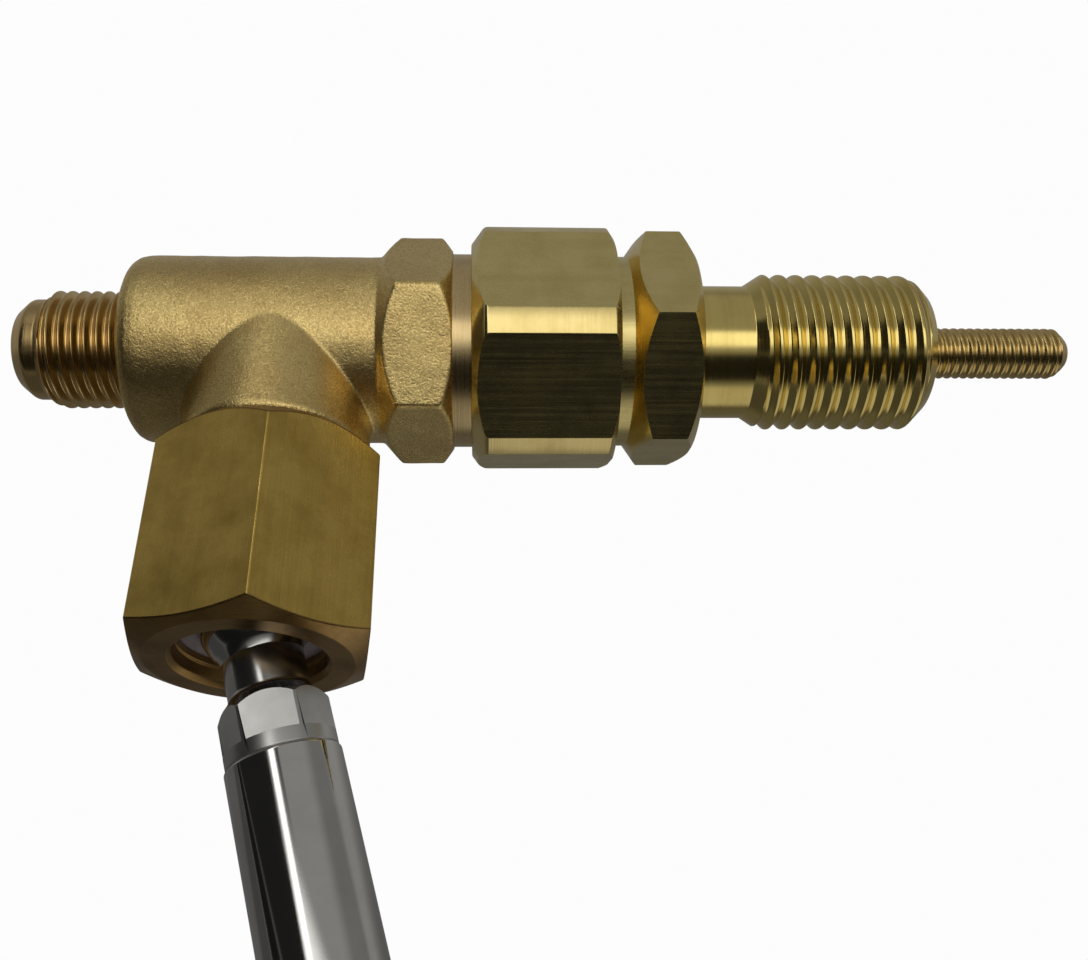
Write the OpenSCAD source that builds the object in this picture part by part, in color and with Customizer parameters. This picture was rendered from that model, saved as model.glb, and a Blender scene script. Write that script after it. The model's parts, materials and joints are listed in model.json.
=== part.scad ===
// Needle valve with a ball-jointed outlet pipe, for steam or hot water.
// The run lies along X: inlet nipple at -X, panel thread and spindle at +X.
// The outlet branch points down (-Z). Stations along X are given from the
// branch axis; along_run() moves them to the frame, whose origin is the
// middle of the panel thread.

/* [Body] */
// Radius of the cast body around the run
body_r = 10.55; // [10:0.05:11]
// Station of the body's inlet end face
body_start = -16.3; // [-18:0.1:-15]
// Rounding of the body's inlet end
body_rounding = 3; // [1:0.5:3.5]
// Across flats of the cast hexagon
cast_hex_af = 22.5; // [22:0.1:23]
// Turn of the cast hexagon about the run
cast_hex_turn = 35; // [30:1:40]
// Radius of the machined collar that carries the union thread, M22x1.5
collar_r = 11; // [10.9:0.1:11.2]

/* [Inlet nipple] */
// Crest radius of the inlet thread, G 1/4
inlet_thread_r = 6.5785; // [6.5:0.01:6.6]
// Station of the nipple's end face
nose_start = -28.9; // [-30:0.1:-28]
// Radius of the plain nose ahead of the thread
nose_r = 5.65; // [5:0.05:5.7]
// Radius of the inlet passage
inlet_bore_r = 2.75; // [2:0.05:2.8]

/* [Union nut and lock nut] */
// Outer radius of the union nut
union_nut_r = 14.15; // [13.9:0.05:14.4]
// Across flats of the union nut
union_nut_af = 25.7; // [25.2:0.1:26]
// Turn of the union nut's flats about the run
union_nut_turn = 55; // [0:1:60]
// Across flats of the lock nut
lock_nut_af = 24; // [23.5:0.1:24.5]
// Turn of the lock nut about the run
lock_nut_turn = 51; // [0:1:60]

/* [Bonnet] */
// Crest radius of the panel thread, M18x2
panel_thread_r = 9; // [8.9:0.05:9.1]
// Station where the full panel thread begins
panel_thread_start = 54.6; // [54:0.1:55]
// Station of the bonnet's front face
bonnet_front = 73.3; // [72:0.1:74]
// Radius of the neck behind the panel thread
neck_r = 7.65; // [7:0.05:7.8]

/* [Spindle and needle] */
// Crest radius of the spindle's outer thread, M6
spindle_thread_r = 2.97; // [2.9:0.01:3]
// Station of the spindle's outer end when the valve is shut
spindle_end = 91.3; // [88:0.1:94]
// Radius of the operating thread, M10x1.5
operating_r = 4.95; // [4.9:0.01:4.95]
// Radial clearance of turning and sliding pieces
run_gap = 0.05; // [0.03:0.01:0.08]
// Half of the orifice's width
orifice_r = 1.65; // [1.5:0.05:1.7]

/* [Outlet nut] */
// Across flats of the outlet nut
outlet_nut_af = 22.1; // [21.8:0.1:22.3]
// Height of the outlet nut's top face
outlet_nut_top = -15.5; // [-16:0.1:-15.3]
// Height of the outlet nut's mouth
outlet_nut_mouth = -38; // [-39:0.1:-37.6]
// Turn of the outlet nut about the branch
outlet_nut_turn = -81.9; // [-90:0.1:-70]

/* [Outlet pipe] */
// Radius of the ball
ball_r = 5.5; // [5.3:0.05:5.6]
// Height of the ball's centre
ball_height = -33.5; // [-34:0.1:-33]
// Radius of the neck below the ball
ball_neck_r = 3.9; // [3.5:0.1:4]
// Outer radius of the pipe
pipe_r = 5.4; // [5:0.05:5.5]
// Wall of the pipe
pipe_wall = 1.2; // [1:0.1:1.3]
// Distance from the ball's centre to the pipe's end
pipe_end = 118; // [60:1:150]
// Lean of the pipe from the branch axis
pipe_tilt = 15.9; // [0:0.1:20]
// Direction of the lean, about the branch axis
pipe_lean_dir = 8.7; // [-90:0.1:90]

/* [Hidden] */
$fn = 96;
datum = 63.15;                      // station of the frame's origin
eps = 0.01;                      // overshoot of cutting tools
hex_corner = 2 / sqrt(3);        // corner radius of a hexagon over its apothem
body_end = 11;                   // station where the plain run stops
hex_start = 13.3;                // stations of the cast hexagon's full section
hex_end = 17.9;
collar_start = 19.1;
spigot_end = 29.9;               // end of the union thread
chamber_r = 6;                   // bore of the body behind the needle
chamber_start = -6.5;
seat_pocket_r = 3.6;             // pocket of the pressed seat bush
seat_pocket_start = -11.5;
branch_r = 10.1;                 // cast branch
branch_end = -15;
branch_thread_r = 8.33;          // G 3/8 spigot inside the outlet nut
branch_spigot_end = -25;
branch_bore_r = 4.5;
gasket_t = 1;
union_face = 21.2;               // stations of the union nut's faces
union_front = 37;
union_lip = 33.1;                // where its inner lip begins
flange_r = 10;                   // bonnet flange held by that lip
lock_face = 37.1;                // stations of the lock nut's faces
lock_front = 46.1;
neck_end = 52.4;
bonnet_mid = 53;                 // end of the operating thread's bore
bonnet_front_wall = 71;
stem_r = 3.9;                    // plain stem that carries the O-rings
stem_start = 47.5;
stem_end = 66;
ring_grooves = [56, 61];         // stations of the O-ring grooves
ring_groove_w = 2.2;
ring_r = 0.75;                   // radius of an O-ring's cord
spindle_start = 7.6;
shank_r = 3;                     // plain shank in the front wall's bore
shank_end = 73;
relief_r = 2.4;                  // relief groove behind the spindle's outer thread
relief_end = 74;
socket_r = 2.36;                 // socket that the needle's shank swivels in
socket_end = 13.3;
needle_r = 2.3;
needle_tip_r = 0.55;
needle_point = -10.5;
needle_cone_end = -4;
clip_at = 10.8;                  // station of the snap ring
clip_r = 0.28;
cavity_r = 8;                    // hollow of the outlet nut around the ball
cavity_start = -25.5;
lip_height = -35.4;              // shoulder that the lower seat rests on
lip_r = 6.9;
mouth_r = 7.25;
seat_r = 7.9;                    // outside of both ball seats
seat_open_r = 5.2;
hub_start = 9.25;                   // stations along the pipe, from the ball
hub_end = 14.6;
flats_end = 13.05;
hub_turn = 9.2;
hub_r = 5.22;
hub_af = 9.2;                    // across the hub's wrench flats
stem_bore_r = 1.9;
tip_len = 9;

brass = [0.71, 0.6, 0.31];
cast_brass = [0.62, 0.53, 0.28];
steel = [0.75, 0.75, 0.74];
ptfe = [0.93, 0.92, 0.95];
seal = [0.09, 0.09, 0.1];

// ---- placing ----

// Puts a piece turned about local Z on the run, with local z = station along X
module along_run() {
    translate([-datum, 0, 0]) rotate([0, 90, 0]) children();
}

// Puts a piece turned about local Z on the branch, heights as they are
module along_branch() {
    translate([-datum, 0, 0]) children();
}

// Puts a piece turned about local Z on the outlet pipe, local z = distance from the ball
module along_pipe() {
    translate([-datum, 0, ball_height])
        rotate([0, 0, pipe_lean_dir])
            rotate([0, 180 - pipe_tilt, 0])
                children();
}

// ---- shapes that repeat ----

// A round bar with a cone at each end: full radius from a to b, end radii ra and rb
module barrel(r, start, full_start, full_end, end, ra, rb) {
    rotate_extrude()
        polygon([[0, start], [ra, start], [r, full_start], [r, full_end], [rb, end], [0, end]]);
}

// A bore from a to b that overshoots both ends
module bore(r, a, b) {
    translate([0, 0, a - eps]) cylinder(r = r, h = b - a + 2 * eps);
}

// A hexagonal bar from a to b
module hex_bar(af, a, b, turn = 0) {
    rotate(turn) translate([0, 0, a]) cylinder(r = af / 2 * hex_corner, h = b - a, $fn = 6);
}

// A flat ring
module ring(outer, inner, a, b) {
    difference() {
        translate([0, 0, a]) cylinder(r = outer, h = b - a);
        bore(inner, a, b);
    }
}

// A round cord closed into a ring about local Z
module cord_ring(middle_r, cord_r, at) {
    translate([0, 0, at]) rotate_extrude() translate([middle_r, 0]) circle(r = cord_r);
}

// ---- body side ----

// Plain outline of the run, drawn with local y = station
module run_outline() {
    union() {
        polygon([[0, nose_start], [nose_r - 1.4, nose_start], [nose_r, nose_start + 1.4],
                 [nose_r, -26.1], [inlet_thread_r, -24.6], [inlet_thread_r, body_start],
                 [0, body_start]]);
        translate([0, body_start]) square([body_r - body_rounding, body_rounding]);
        translate([body_r - body_rounding, body_start + body_rounding]) circle(r = body_rounding);
        translate([0, body_start + body_rounding])
            square([body_r, body_end - body_start - body_rounding]);
        translate([0, body_end]) square([collar_r, spigot_end - 1 - body_end]);
        polygon([[0, spigot_end - 1], [collar_r, spigot_end - 1], [collar_r - 0.8, spigot_end],
                 [0, spigot_end]]);
    }
}

module valve_body() {
    color(cast_brass)
    difference() {
        union() {
            along_run() rotate_extrude()
                intersection() {
                    run_outline();
                    translate([0, nose_start]) square([30, 60]);
                }
            along_run() intersection() {
                hex_bar(cast_hex_af, body_end, collar_start, cast_hex_turn);
                barrel(14, body_end - 0.5, hex_start + 0.8, hex_end - 0.8, collar_start + 0.3,
                       body_r - 0.6, collar_r);
            }
            along_branch() translate([0, 0, branch_end]) cylinder(r = branch_r, h = -branch_end);
            along_branch()
                barrel(branch_thread_r, branch_spigot_end, branch_spigot_end + 0.8, -12, -11,
                       branch_thread_r - 0.8, branch_thread_r);
        }
        along_run() bore(inlet_bore_r, nose_start, seat_pocket_start + 0.5);
        along_run() bore(seat_pocket_r, seat_pocket_start, chamber_start);
        along_run() bore(chamber_r, chamber_start, spigot_end);
        along_branch() bore(branch_bore_r, branch_spigot_end, 0);
    }
}

module seat_bush() {
    color(steel)
    along_run() difference() {
        translate([0, 0, seat_pocket_start])
            cylinder(r = seat_pocket_r, h = chamber_start - seat_pocket_start);
        bore(orifice_r, seat_pocket_start, chamber_start);
    }
}

module bonnet_gasket() {
    color(ptfe) along_run() ring(9.9, chamber_r + 0.3, spigot_end, spigot_end + gasket_t);
}

// ---- bonnet side ----

module bonnet() {
    back = spigot_end + gasket_t;
    color(brass)
    along_run() difference() {
        rotate_extrude()
            polygon([[0, back], [flange_r, back], [flange_r, union_lip], [panel_thread_r, union_lip],
                     [panel_thread_r, lock_front - 0.6], [neck_r, lock_front + 0.4],
                     [neck_r, neck_end], [panel_thread_r, panel_thread_start],
                     [panel_thread_r, bonnet_front - 1.6], [panel_thread_r - 1.6, bonnet_front],
                     [0, bonnet_front]]);
        bore(operating_r + run_gap, back, bonnet_mid);
        bore(stem_r + 0.1, bonnet_mid, bonnet_front_wall);
        bore(shank_r + run_gap, bonnet_front_wall, bonnet_front);
    }
}

module union_nut() {
    color(brass)
    along_run() difference() {
        intersection() {
            hex_bar(union_nut_af, union_face, union_front, union_nut_turn);
            barrel(union_nut_r, union_face, union_face + 1.5, union_front - 0.7, union_front,
                   12.1, 13.1);
        }
        bore(collar_r + 0.03, union_face, spigot_end);
        bore(flange_r + 0.1, spigot_end, union_lip);
        bore(panel_thread_r + 0.15, union_lip, union_front);
        translate([0, 0, union_face - eps]) cylinder(r1 = collar_r + 0.7, r2 = collar_r, h = 0.7);
    }
}

module lock_nut() {
    boss_r = 10.9;
    boss_end = 38.7;
    color(brass)
    along_run() difference() {
        union() {
            intersection() {
                hex_bar(lock_nut_af, boss_end, lock_front, lock_nut_turn);
                barrel(13.9, boss_end, 40.8, 44.6, lock_front, boss_r, 11.7);
            }
            translate([0, 0, lock_face]) cylinder(r = boss_r, h = boss_end - lock_face + eps);
        }
        bore(panel_thread_r + 0.03, lock_face, lock_front);
    }
}

module spindle() {
    chamfer = 1.15;
    head_r = 4.4;
    color(brass)
    along_run() difference() {
        rotate_extrude()
            polygon([[0, spindle_start], [head_r - 0.6, spindle_start], [head_r, spindle_start + 0.6],
                     [head_r, 15], [3.2, 16.2], [3.2, 33], [operating_r - 0.8, 33],
                     [operating_r, 33.8], [operating_r, stem_start - 0.8],
                     [stem_r, stem_start], [stem_r, stem_end - 0.5], [stem_r - 0.5, stem_end],
                     [shank_r, stem_end], [shank_r, shank_end], [relief_r, shank_end],
                     [relief_r, relief_end], [spindle_thread_r, relief_end],
                     [spindle_thread_r, spindle_end - chamfer],
                     [spindle_thread_r - chamfer, spindle_end], [0, spindle_end]]);
        bore(socket_r, spindle_start, socket_end);
        translate([0, 0, clip_at - 0.4]) cylinder(r = 2.8, h = 0.8);
        for (at = ring_grooves)
            ring(stem_r + 1, stem_r - 2 * ring_r + 0.05, at, at + ring_groove_w);
    }
}

module stem_o_ring(at) {
    color(seal) along_run()
        cord_ring(stem_r - ring_r + 0.06, ring_r, at + ring_groove_w / 2);
}

module inner_o_ring() {
    stem_o_ring(ring_grooves[0]);
}

module outer_o_ring() {
    stem_o_ring(ring_grooves[1]);
}

module needle() {
    color(steel)
    along_run() difference() {
        rotate_extrude()
            polygon([[0, needle_point], [needle_tip_r, needle_point], [needle_r, needle_cone_end],
                     [needle_r, 6], [3.2, 6.2], [3.2, spindle_start - 0.1],
                     [needle_r, spindle_start - 0.1], [needle_r, socket_end - 0.3],
                     [0, socket_end - 0.3]]);
        ring(needle_r + 1, 1.9, clip_at - 0.32, clip_at + 0.32);
    }
}

module needle_snap_ring() {
    color(steel)
    along_run() difference() {
        cord_ring(2.2, clip_r, clip_at);
        translate([0, -0.6, clip_at - 1]) cube([4, 1.2, 2]);
    }
}

// ---- outlet side ----

module outlet_gasket() {
    color(seal) along_branch() ring(9.5, branch_thread_r + 0.05, outlet_nut_top, branch_end);
}

module outlet_nut() {
    color(brass)
    along_branch() difference() {
        intersection() {
            hex_bar(outlet_nut_af, outlet_nut_mouth, outlet_nut_top, outlet_nut_turn);
            barrel(12.8, outlet_nut_mouth, -36.8, -17.4, outlet_nut_top, 10, 10.85);
        }
        bore(branch_thread_r + 0.03, cavity_start, outlet_nut_top);
        bore(cavity_r, lip_height, cavity_start);
        bore(lip_r, lip_height - 0.8, lip_height);
        bore(mouth_r, outlet_nut_mouth, lip_height - 0.8);
        translate([0, 0, outlet_nut_mouth - eps])
            cylinder(r1 = mouth_r + 0.5, r2 = mouth_r, h = 0.5);
    }
}

// Two cupped disc springs, stacked with their rims together
module disc_springs() {
    middle = branch_spigot_end - 1.6;
    color(steel)
    along_branch() for (side = [0, 1])
        translate([0, 0, middle])
            mirror([0, 0, side])
                rotate_extrude()
                    polygon([[7.7, 0.02], [7.7, 0.7], [4.8, 1.54], [4.8, 0.84]]);
}

module thrust_washer() {
    color(steel) along_branch() ring(7.8, 4.4, -28.9, -28.2);
}

// A seat: a ring from low to high with the ball's round cut out of it
module ball_seat(inner, low, high) {
    color(ptfe)
    along_branch() rotate_extrude()
        difference() {
            translate([inner, low]) square([seat_r - inner, high - low]);
            translate([0, ball_height]) circle(r = ball_r + run_gap - 0.01);
        }
}

module upper_ball_seat() {
    ball_seat(3.4, -32.9, -28.95);
}

module lower_ball_seat() {
    ball_seat(seat_open_r, lip_height, -33.9);
}

// Ball, neck and wrench hub, turned in one piece
module ball_stem() {
    spigot = pipe_r - pipe_wall - 0.02;
    color(steel)
    along_pipe() difference() {
        union() {
            sphere(r = ball_r);
            cylinder(r = ball_neck_r, h = hub_start);
            rotate_extrude() difference() {
                translate([0, hub_start - 1]) square([ball_neck_r + 0.9, 1 + eps]);
                translate([ball_neck_r + 1, hub_start - 1]) circle(r = 1);
            }
            difference() {
                barrel(hub_r, hub_start, hub_start + 0.5, hub_end - 0.2, hub_end, hub_r - 0.4, hub_r - 0.2);
                difference() {
                    translate([0, 0, hub_start - 1]) cylinder(r = pipe_r + 1, h = flats_end - hub_start + 1);
                    hex_bar(hub_af, hub_start - 2, flats_end + 1, hub_turn);
                }
            }
            translate([0, 0, hub_end]) cylinder(r = spigot, h = 6);
        }
        bore(stem_bore_r, -ball_r, hub_end + 6);
    }
}

module outlet_pipe() {
    color(steel) along_pipe() ring(pipe_r, pipe_r - pipe_wall, hub_end, pipe_end);
}

module tip_gasket() {
    color(ptfe) along_pipe() ring(pipe_r - 0.1, 3.7, pipe_end, pipe_end + 0.8);
}

module nozzle_tip() {
    start = pipe_end + 0.8;
    plug = pipe_r - pipe_wall - 0.02;
    color(steel)
    along_pipe() difference() {
        union() {
            difference() {
                barrel(hub_r, start, start + 0.3, start + 5.5, start + tip_len, hub_r - 0.3, 2.6);
                for (side = [-1, 1])
                    translate([side * (pipe_r - 0.6) - (side < 0 ? 2 : 0), -8, start + 1.2])
                        cube([2, 16, 3.2]);
            }
            translate([0, 0, start - 6]) cylinder(r = plug - 0.6, h = 6);
        }
        bore(2.2, start - 6, start + 4);
        bore(1, start, start + tip_len);
    }
}

valve_body();
seat_bush();
bonnet_gasket();
bonnet();
union_nut();
lock_nut();
spindle();
inner_o_ring();
outer_o_ring();
needle();
needle_snap_ring();
outlet_gasket();
outlet_nut();
disc_springs();
thrust_washer();
upper_ball_seat();
lower_ball_seat();
ball_stem();
outlet_pipe();
tip_gasket();
nozzle_tip();
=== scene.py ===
# %% [markdown]
# # A brass needle valve with a ball-jointed steel pipe
# The valve is a cast tee. Steam comes in at the small threaded nipple, the
# needle inside the run opens it, and it leaves by the polished pipe below,
# which swings on a ball. This lesson builds the pieces that show as detailed
# meshes, gives each one a finish made of shader nodes, and lights them so that
# polished and rough brass can be told apart.
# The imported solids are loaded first. They fix where everything sits.

# %% Load the frame
import json
import math

import bmesh
import bpy
import numpy as np
from mathutils import Matrix, Vector


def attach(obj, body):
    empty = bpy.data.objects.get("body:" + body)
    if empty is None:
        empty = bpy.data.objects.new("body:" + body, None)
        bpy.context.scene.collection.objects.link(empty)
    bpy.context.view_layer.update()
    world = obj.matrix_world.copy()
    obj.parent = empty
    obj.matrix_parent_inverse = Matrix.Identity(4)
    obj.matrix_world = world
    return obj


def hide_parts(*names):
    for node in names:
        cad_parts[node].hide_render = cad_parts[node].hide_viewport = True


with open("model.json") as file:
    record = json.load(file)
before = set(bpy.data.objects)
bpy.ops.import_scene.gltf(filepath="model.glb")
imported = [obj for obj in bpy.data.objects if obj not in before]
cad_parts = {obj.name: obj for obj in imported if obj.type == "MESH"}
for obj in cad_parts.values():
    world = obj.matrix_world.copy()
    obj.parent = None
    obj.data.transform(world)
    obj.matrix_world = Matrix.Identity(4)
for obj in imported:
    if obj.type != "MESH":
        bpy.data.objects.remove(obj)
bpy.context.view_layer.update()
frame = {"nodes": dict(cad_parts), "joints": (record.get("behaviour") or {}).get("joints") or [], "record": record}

# %% [markdown]
# ## Three axes to build on
# Every piece here was turned in a lathe, so each is easiest to draw around its
# own axis: the run (inlet to spindle), the branch (straight down), or the
# pipe, which leans. We draw a piece in millimetres around local Z and put it
# in place with one matrix. The places themselves are read from the frame: the
# joint gives the ball's centre and the pipe's mount gives its direction, so
# nothing is fitted by eye.

# %% Placing matrices
MM = 0.001
joints = {j["name"]: j for j in frame["joints"]}
mounts = {m["name"]: m for m in frame["record"]["mounts"]}
ball_centre = Vector(joints["pipe_tilt"]["pos_m"])
pipe_axis = Vector(mounts["outlet_pipe"]["axis"]).normalized()
tilt = math.degrees(math.acos(-pipe_axis.z))
lean = math.degrees(math.atan2(pipe_axis.y, pipe_axis.x))

to_branch = Matrix.Translation((ball_centre.x, 0, 0)) @ Matrix.Scale(MM, 4)
to_run = (
    Matrix.Translation((ball_centre.x, 0, 0))
    @ Matrix.Rotation(math.radians(90), 4, "Y")
    @ Matrix.Scale(MM, 4)
)
to_pipe = (
    Matrix.Translation(ball_centre)
    @ Matrix.Rotation(math.radians(lean), 4, "Z")
    @ Matrix.Rotation(math.radians(180 - tilt), 4, "Y")
    @ Matrix.Scale(MM, 4)
)
print(f"ball centre {[round(c * 1000, 2) for c in ball_centre]} mm, pipe leans {tilt:.1f} deg")

# %% [markdown]
# ## Profiles with broken edges
# No machined edge is perfectly sharp: a turner breaks it with a file or a
# small tool radius, and that tiny round is what catches the light. A profile
# is therefore a list of corners, each with the radius of its rounding.


# %% Round the corners of a profile
def rounded(corners, closed=True, steps=4):
    """Corners are (station, radius, rounding); returns (station, radius) points."""
    points = []
    count = len(corners)
    for i, corner in enumerate(corners):
        here = Vector(corner[:2])
        size = corner[2] if len(corner) > 2 else 0
        if size == 0 or (not closed and i in (0, count - 1)):
            points.append(tuple(here))
            continue
        before = Vector(corners[i - 1][:2])
        after = Vector(corners[(i + 1) % count][:2])
        back, ahead = before - here, after - here
        turn = math.pi - back.angle(ahead)
        reach = min(size * math.tan(turn / 2), 0.45 * back.length, 0.45 * ahead.length)
        start, end = here + back.normalized() * reach, here + ahead.normalized() * reach
        for k in range(steps + 1):
            t = k / steps
            points.append(tuple(start * (1 - t) ** 2 + here * 2 * t * (1 - t) + end * t * t))
    return points


# %% Spin a profile into a mesh
def on_circle(radius, angle, station):
    """The point at that radius and angle about local Z."""
    return radius * math.cos(angle), radius * math.sin(angle), station


def spin(bm, points, segments=160, closed=True):
    """Adds the surface that the profile makes when it turns about local Z."""
    rings = []
    for station, radius in points:
        if radius < 1e-6:
            rings.append([bm.verts.new((0, 0, station))])
            continue
        angles = [2 * math.pi * j / segments for j in range(segments)]
        rings.append([bm.verts.new(on_circle(radius, a, station)) for a in angles])
    pairs = list(zip(rings, rings[1:])) + ([(rings[-1], rings[0])] if closed else [])
    for one, two in pairs:
        for j in range(segments):
            k = (j + 1) % segments
            corner = [one[j % len(one)], one[k % len(one)], two[k % len(two)], two[j % len(two)]]
            corner = list(dict.fromkeys(corner))
            if len(corner) > 2:
                bm.faces.new(corner)


# %% [markdown]
# ## From a drawing to a placed piece
# Corners that fall on each other are welded, the piece is moved into the
# frame, and its shading is smooth except where two faces meet at a real edge.
# Weighted normals let the big flats decide the shading, so they look flat.

# %% Shading that keeps edges
WELD_MM, SPECK_MM = 1e-4, 1e-5
TURNED_EDGE, NUT_EDGE, STEM_EDGE = 38, 35, 18


def crisp_shading(obj, sharp_from):
    """Smooth shading, broken at edges bent by more than sharp_from degrees."""
    obj.data.shade_smooth()
    obj.data.set_sharp_from_angle(angle=math.radians(sharp_from))
    weighted = obj.modifiers.new("crisp flats", "WEIGHTED_NORMAL")
    weighted.keep_sharp = True


# %% Turn a bmesh into a placed object
def settle(name, bm, place, smooth=True):
    """Welds the mesh, moves it into the frame and shades it."""
    bmesh.ops.remove_doubles(bm, verts=bm.verts, dist=WELD_MM)
    bmesh.ops.dissolve_degenerate(bm, edges=bm.edges, dist=SPECK_MM)
    bmesh.ops.recalc_face_normals(bm, faces=bm.faces)
    bm.transform(place)
    mesh = bpy.data.meshes.new(name)
    bm.to_mesh(mesh)
    bm.free()
    obj = bpy.data.objects.new(name, mesh)
    bpy.context.scene.collection.objects.link(obj)
    if smooth:
        crisp_shading(obj, TURNED_EDGE)
    print(f"{name}: {len(mesh.polygons)} faces")
    return obj


def turned(name, corners, place, closed=True, segments=160):
    """A whole turned piece from one profile."""
    bm = bmesh.new()
    spin(bm, rounded(corners, closed), segments, closed)
    return settle(name, bm, place)


# %% [markdown]
# ## Real screw threads
# A thread is a ridge that climbs as it goes round. The surface is made as a
# tube whose rows follow the helix, so each row runs exactly along the crest,
# the flank or the root, and the ridge stays crisp without a huge mesh. An
# outline of the blank cuts the crests down at the chamfers, just as the
# blank's own shape does on a lathe.


# %% The shape of one thread ridge
def ridge(phase, crest=0.16, root=0.2, soften=0.045):
    """1 on the crest and 0 in the root; crest, root and soften are shares of a pitch."""
    soft = np.zeros_like(phase)
    shifts = np.linspace(-soften, soften, 7)
    for shift in shifts:
        away = np.abs((phase + shift) % 1 - 0.5)
        soft += np.clip((0.5 - root / 2 - away) / (0.5 - root / 2 - crest / 2), 0, 1)
    return soft / len(shifts)


def radius_at(outline, station):
    """Radius of the blank, straight between the outline's points."""
    return np.interp(station, [s for s, r in outline], [r for s, r in outline])


# %% A tube whose rows follow the helix
AROUND = 144  # corners round a threaded piece


def thread_tube(bm, start, end, pitch, depth, outline, segments=AROUND, steps=24):
    """A threaded skin between two stations; steps is the number of rows in a pitch."""
    rise = pitch / steps
    rows = math.ceil((end - start) / rise) + steps + 3
    k, j = np.meshgrid(np.arange(rows + 1), np.arange(segments), indexing="ij")
    station = np.clip(start - pitch + k * rise + pitch * j / segments, start, end)
    phase = ((station - start) / pitch - j / segments) % 1
    blank = radius_at(outline, station)
    crest = max(r for s, r in outline)
    radius = np.minimum(blank, crest - depth * (1 - ridge(phase)))
    angle = 2 * math.pi * j / segments
    x, y = radius * np.cos(angle), radius * np.sin(angle)
    verts = [
        [bm.verts.new((x[a, b], y[a, b], station[a, b])) for b in range(segments)]
        for a in range(rows + 1)
    ]
    for a in range(rows):
        for b in range(segments):
            a2, b2 = (a, b + 1) if b + 1 < segments else (a + steps, 0)
            if a2 + 1 <= rows:
                bm.faces.new([verts[a][b], verts[a2][b2], verts[a2 + 1][b2], verts[a + 1][b]])


# %% [markdown]
# ## The cast body
# The tee was poured in sand. Where the branch meets the run there is a soft
# fillet, the hexagon's corners are dull, and the skin is slightly uneven. We
# put the separate solids together, let a voxel remesh melt them into one skin
# and relax it, which rounds every inside corner like the foundry's pattern
# does. A boolean union would leave knife-sharp joints.


# %% A hexagon inside a turned barrel, as a fine polar grid
def hex_barrel(bm, across, turn, outline, segments=240, rows=60):
    """A hexagon, across its flats in mm, that stays inside a turned outline."""
    first, last = outline[0][0], outline[-1][0]
    rings = []
    for i in range(rows + 1):
        station = first + (last - first) * i / rows
        limit = radius_at(outline, station)
        ring = []
        for j in range(segments):
            angle = 2 * math.pi * j / segments
            off = (angle - math.radians(turn + 30) + math.pi / 6) % (math.pi / 3) - math.pi / 6
            radius = min(limit, across / 2 / math.cos(off))
            ring.append(bm.verts.new(on_circle(radius, angle, station)))
        rings.append(ring)
    for one, two in zip(rings, rings[1:]):
        for j in range(segments):
            k = (j + 1) % segments
            bm.faces.new([one[j], one[k], two[k], two[j]])
    bm.faces.new(list(reversed(rings[0])))
    bm.faces.new(rings[-1])


# %% Modifiers turned into real mesh
def bake_modifiers(obj):
    """Replaces the object's mesh with what its modifiers make of it."""
    evaluated = obj.evaluated_get(bpy.context.evaluated_depsgraph_get())
    mesh = bpy.data.meshes.new_from_object(evaluated)
    obj.modifiers.clear()
    obj.data = mesh
    return obj


def cut_with(obj, tool, name, operation):
    """Runs an exact boolean against the tool and throws the tool away."""
    boolean = obj.modifiers.new(name, "BOOLEAN")
    boolean.operation, boolean.solver, boolean.object = operation, "EXACT", tool
    bake_modifiers(obj)
    bpy.data.objects.remove(tool)


def cut_round(obj, radius, start, end, place):
    """Bores a round hole through obj."""
    bm = bmesh.new()
    spin(bm, [(start, 0), (start, radius), (end, radius), (end, 0)], 96)
    cut_with(obj, settle("tool", bm, place, smooth=False), "bore", "DIFFERENCE")


def break_edges(obj, width, segments, bent=24):
    """Bevels every edge bent by more than bent degrees; width in mm."""
    edge = obj.modifiers.new("broken edges", "BEVEL")
    edge.width, edge.segments, edge.limit_method = width * MM, segments, "ANGLE"
    edge.angle_limit = math.radians(bent)
    bake_modifiers(obj)


# %% The pattern: run, hexagon and branch
BODY_R, RUN_START, RUN_END = 10.55, -16.3, 13.0
BRANCH_R, BRANCH_END = 10.1, -15.0
CAST_ACROSS, CAST_TURN, CAST_CORNER_R = 22.5, 35, 13.0
PATTERN_SEGMENTS = 120
bm = bmesh.new()
run = [(RUN_START, 0), (RUN_START, BODY_R, 2.2), (RUN_END, BODY_R), (RUN_END, 0)]
spin(bm, rounded(run), PATTERN_SEGMENTS)
hex_barrel(
    bm, CAST_ACROSS, CAST_TURN,
    [
        (11.0, BODY_R - 1.2), (11.3, BODY_R + 0.1), (13.3, CAST_CORNER_R),
        (17.9, CAST_CORNER_R), (19.2, 11.2),
    ],
)
bm.transform(Matrix.Rotation(math.radians(90), 4, "Y"))
branch = [(BRANCH_END, 0), (BRANCH_END, BRANCH_R, 0.9), (0, BRANCH_R), (0, 0)]
spin(bm, rounded(branch), PATTERN_SEGMENTS)
casting = settle("cast_body", bm, to_branch, smooth=False)

# %% Melt it into one uneven skin
VOXEL, SKIN_HEIGHT, SKIN_SIZE = 0.00019, 0.00012, 0.0035  # metres
melt = casting.modifiers.new("melt", "REMESH")
melt.mode, melt.voxel_size, melt.adaptivity = "VOXEL", VOXEL, 0
relax = casting.modifiers.new("relax", "SMOOTH")
relax.factor, relax.iterations = 0.5, 3
uneven = casting.modifiers.new("uneven", "DISPLACE")
clouds = bpy.data.textures.new("foundry skin", "CLOUDS")
clouds.noise_scale, clouds.noise_depth = SKIN_SIZE, 3
uneven.texture, uneven.strength, uneven.mid_level = clouds, SKIN_HEIGHT, 0.5
uneven.texture_coords = "GLOBAL"
bake_modifiers(casting)

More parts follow.
